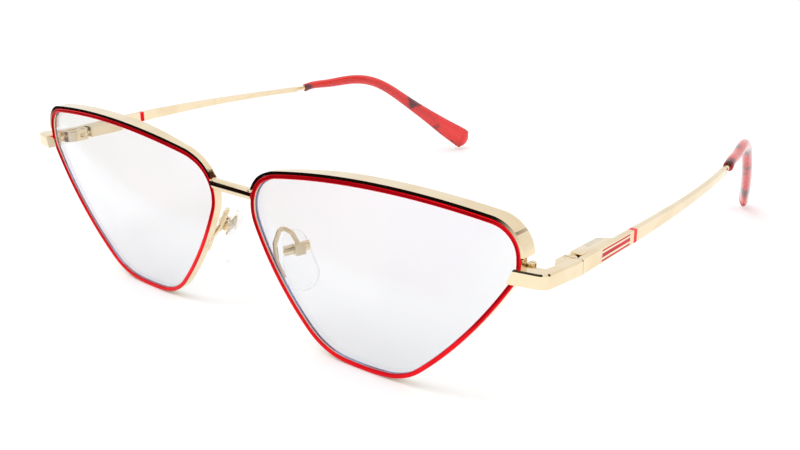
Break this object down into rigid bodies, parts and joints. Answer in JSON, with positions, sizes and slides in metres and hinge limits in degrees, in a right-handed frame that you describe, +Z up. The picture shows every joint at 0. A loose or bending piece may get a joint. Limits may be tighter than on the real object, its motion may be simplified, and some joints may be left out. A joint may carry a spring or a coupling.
{
  "type": "eyeglasses",
  "caption": "Wire-frame eyeglasses with enamelled rims, sprung folding temples, moulded temple tips and adjustable silicone nose pads.",
  "frame": {"origin": "on the ground under the bridge, at the middle of the glasses' footprint", "axes": "+X to the wearer's left, +Y back along the temples, +Z up"},
  "size_m": [0.143, 0.1424, 0.0385],
  "materials": {
    "gold": "polished champagne gold plating",
    "red_enamel": "glossy red enamel",
    "clear_lens": "clear, anti-reflective",
    "steel": "bright spring steel",
    "red_acetate": "translucent polished acetate",
    "clear_silicone": "clear soft silicone"
  },
  "bodies": {
    "front": {"bridge": "gold", "left_eyewire": "gold", "left_rim_enamel": "red_enamel", "left_lens": "clear_lens", "left_brow_band": "gold", "left_rim_lock_upper": "gold", "left_rim_lock_lower": "gold", "left_rim_lock_screw": "gold", "left_end_piece": "gold", "left_hinge_leaf": "gold", "left_hinge_screw": "gold", "left_pad_box": "gold", "left_pad_screw": "gold", "left_pad_arm": "gold", "right_eyewire": "gold", "right_rim_enamel": "red_enamel", "right_lens": "clear_lens", "right_brow_band": "gold", "right_rim_lock_upper": "gold", "right_rim_lock_lower": "gold", "right_rim_lock_screw": "gold", "right_end_piece": "gold", "right_hinge_leaf": "gold", "right_hinge_screw": "gold", "right_pad_box": "gold", "right_pad_screw": "gold", "right_pad_arm": "gold"},
    "left_slider": {"left_hinge_slider": "gold"},
    "left_temple": {"left_spring_bush": "steel", "left_hinge_spring": "steel", "left_spring_housing": "gold", "left_temple_shaft": "gold", "left_temple_stripes": "red_enamel", "left_temple_band": "red_enamel", "left_temple_tip": "red_acetate"},
    "left_pad": {"left_nose_pad": "clear_silicone", "left_pad_insert": "gold"},
    "right_slider": {"right_hinge_slider": "gold"},
    "right_temple": {"right_spring_bush": "steel", "right_hinge_spring": "steel", "right_spring_housing": "gold", "right_temple_shaft": "gold", "right_temple_stripes": "red_enamel", "right_temple_band": "red_enamel", "right_temple_tip": "red_acetate"},
    "right_pad": {"right_nose_pad": "clear_silicone", "right_pad_insert": "gold"}
  },
  "joints": [
    {"name": "left_fold", "type": "hinge", "parent": "front", "child": "left_slider", "pos_m": [0.0689, 0.0132, 0.02715], "axis": [0, 0, 1], "range_deg": [0, 83]},
    {"name": "left_flex", "type": "slide", "parent": "left_slider", "child": "left_temple", "axis": [0, 1, 0], "range_m": [0, 0.0012], "stiffness_N_per_m": 2500, "springref_m": -0.001, "deforming": ["left_hinge_spring"]},
    {"name": "left_pad_rock", "type": "hinge", "parent": "front", "child": "left_pad", "pos_m": [0.01138, 0.00764, 0.018], "axis": [0.4413, 0.8895, 0.1182], "range_deg": [-8, 8]},
    {"name": "right_fold", "type": "hinge", "parent": "front", "child": "right_slider", "pos_m": [-0.0689, 0.0132, 0.02715], "axis": [0, 0, -1], "range_deg": [0, 75]},
    {"name": "right_flex", "type": "slide", "parent": "right_slider", "child": "right_temple", "axis": [0, 1, 0], "range_m": [0, 0.0012], "stiffness_N_per_m": 2500, "springref_m": -0.001, "deforming": ["right_hinge_spring"]},
    {"name": "right_pad_rock", "type": "hinge", "parent": "front", "child": "right_pad", "pos_m": [-0.01138, 0.00764, 0.018], "axis": [-0.4413, 0.8895, 0.1182], "range_deg": [-8, 8]}
  ]
}
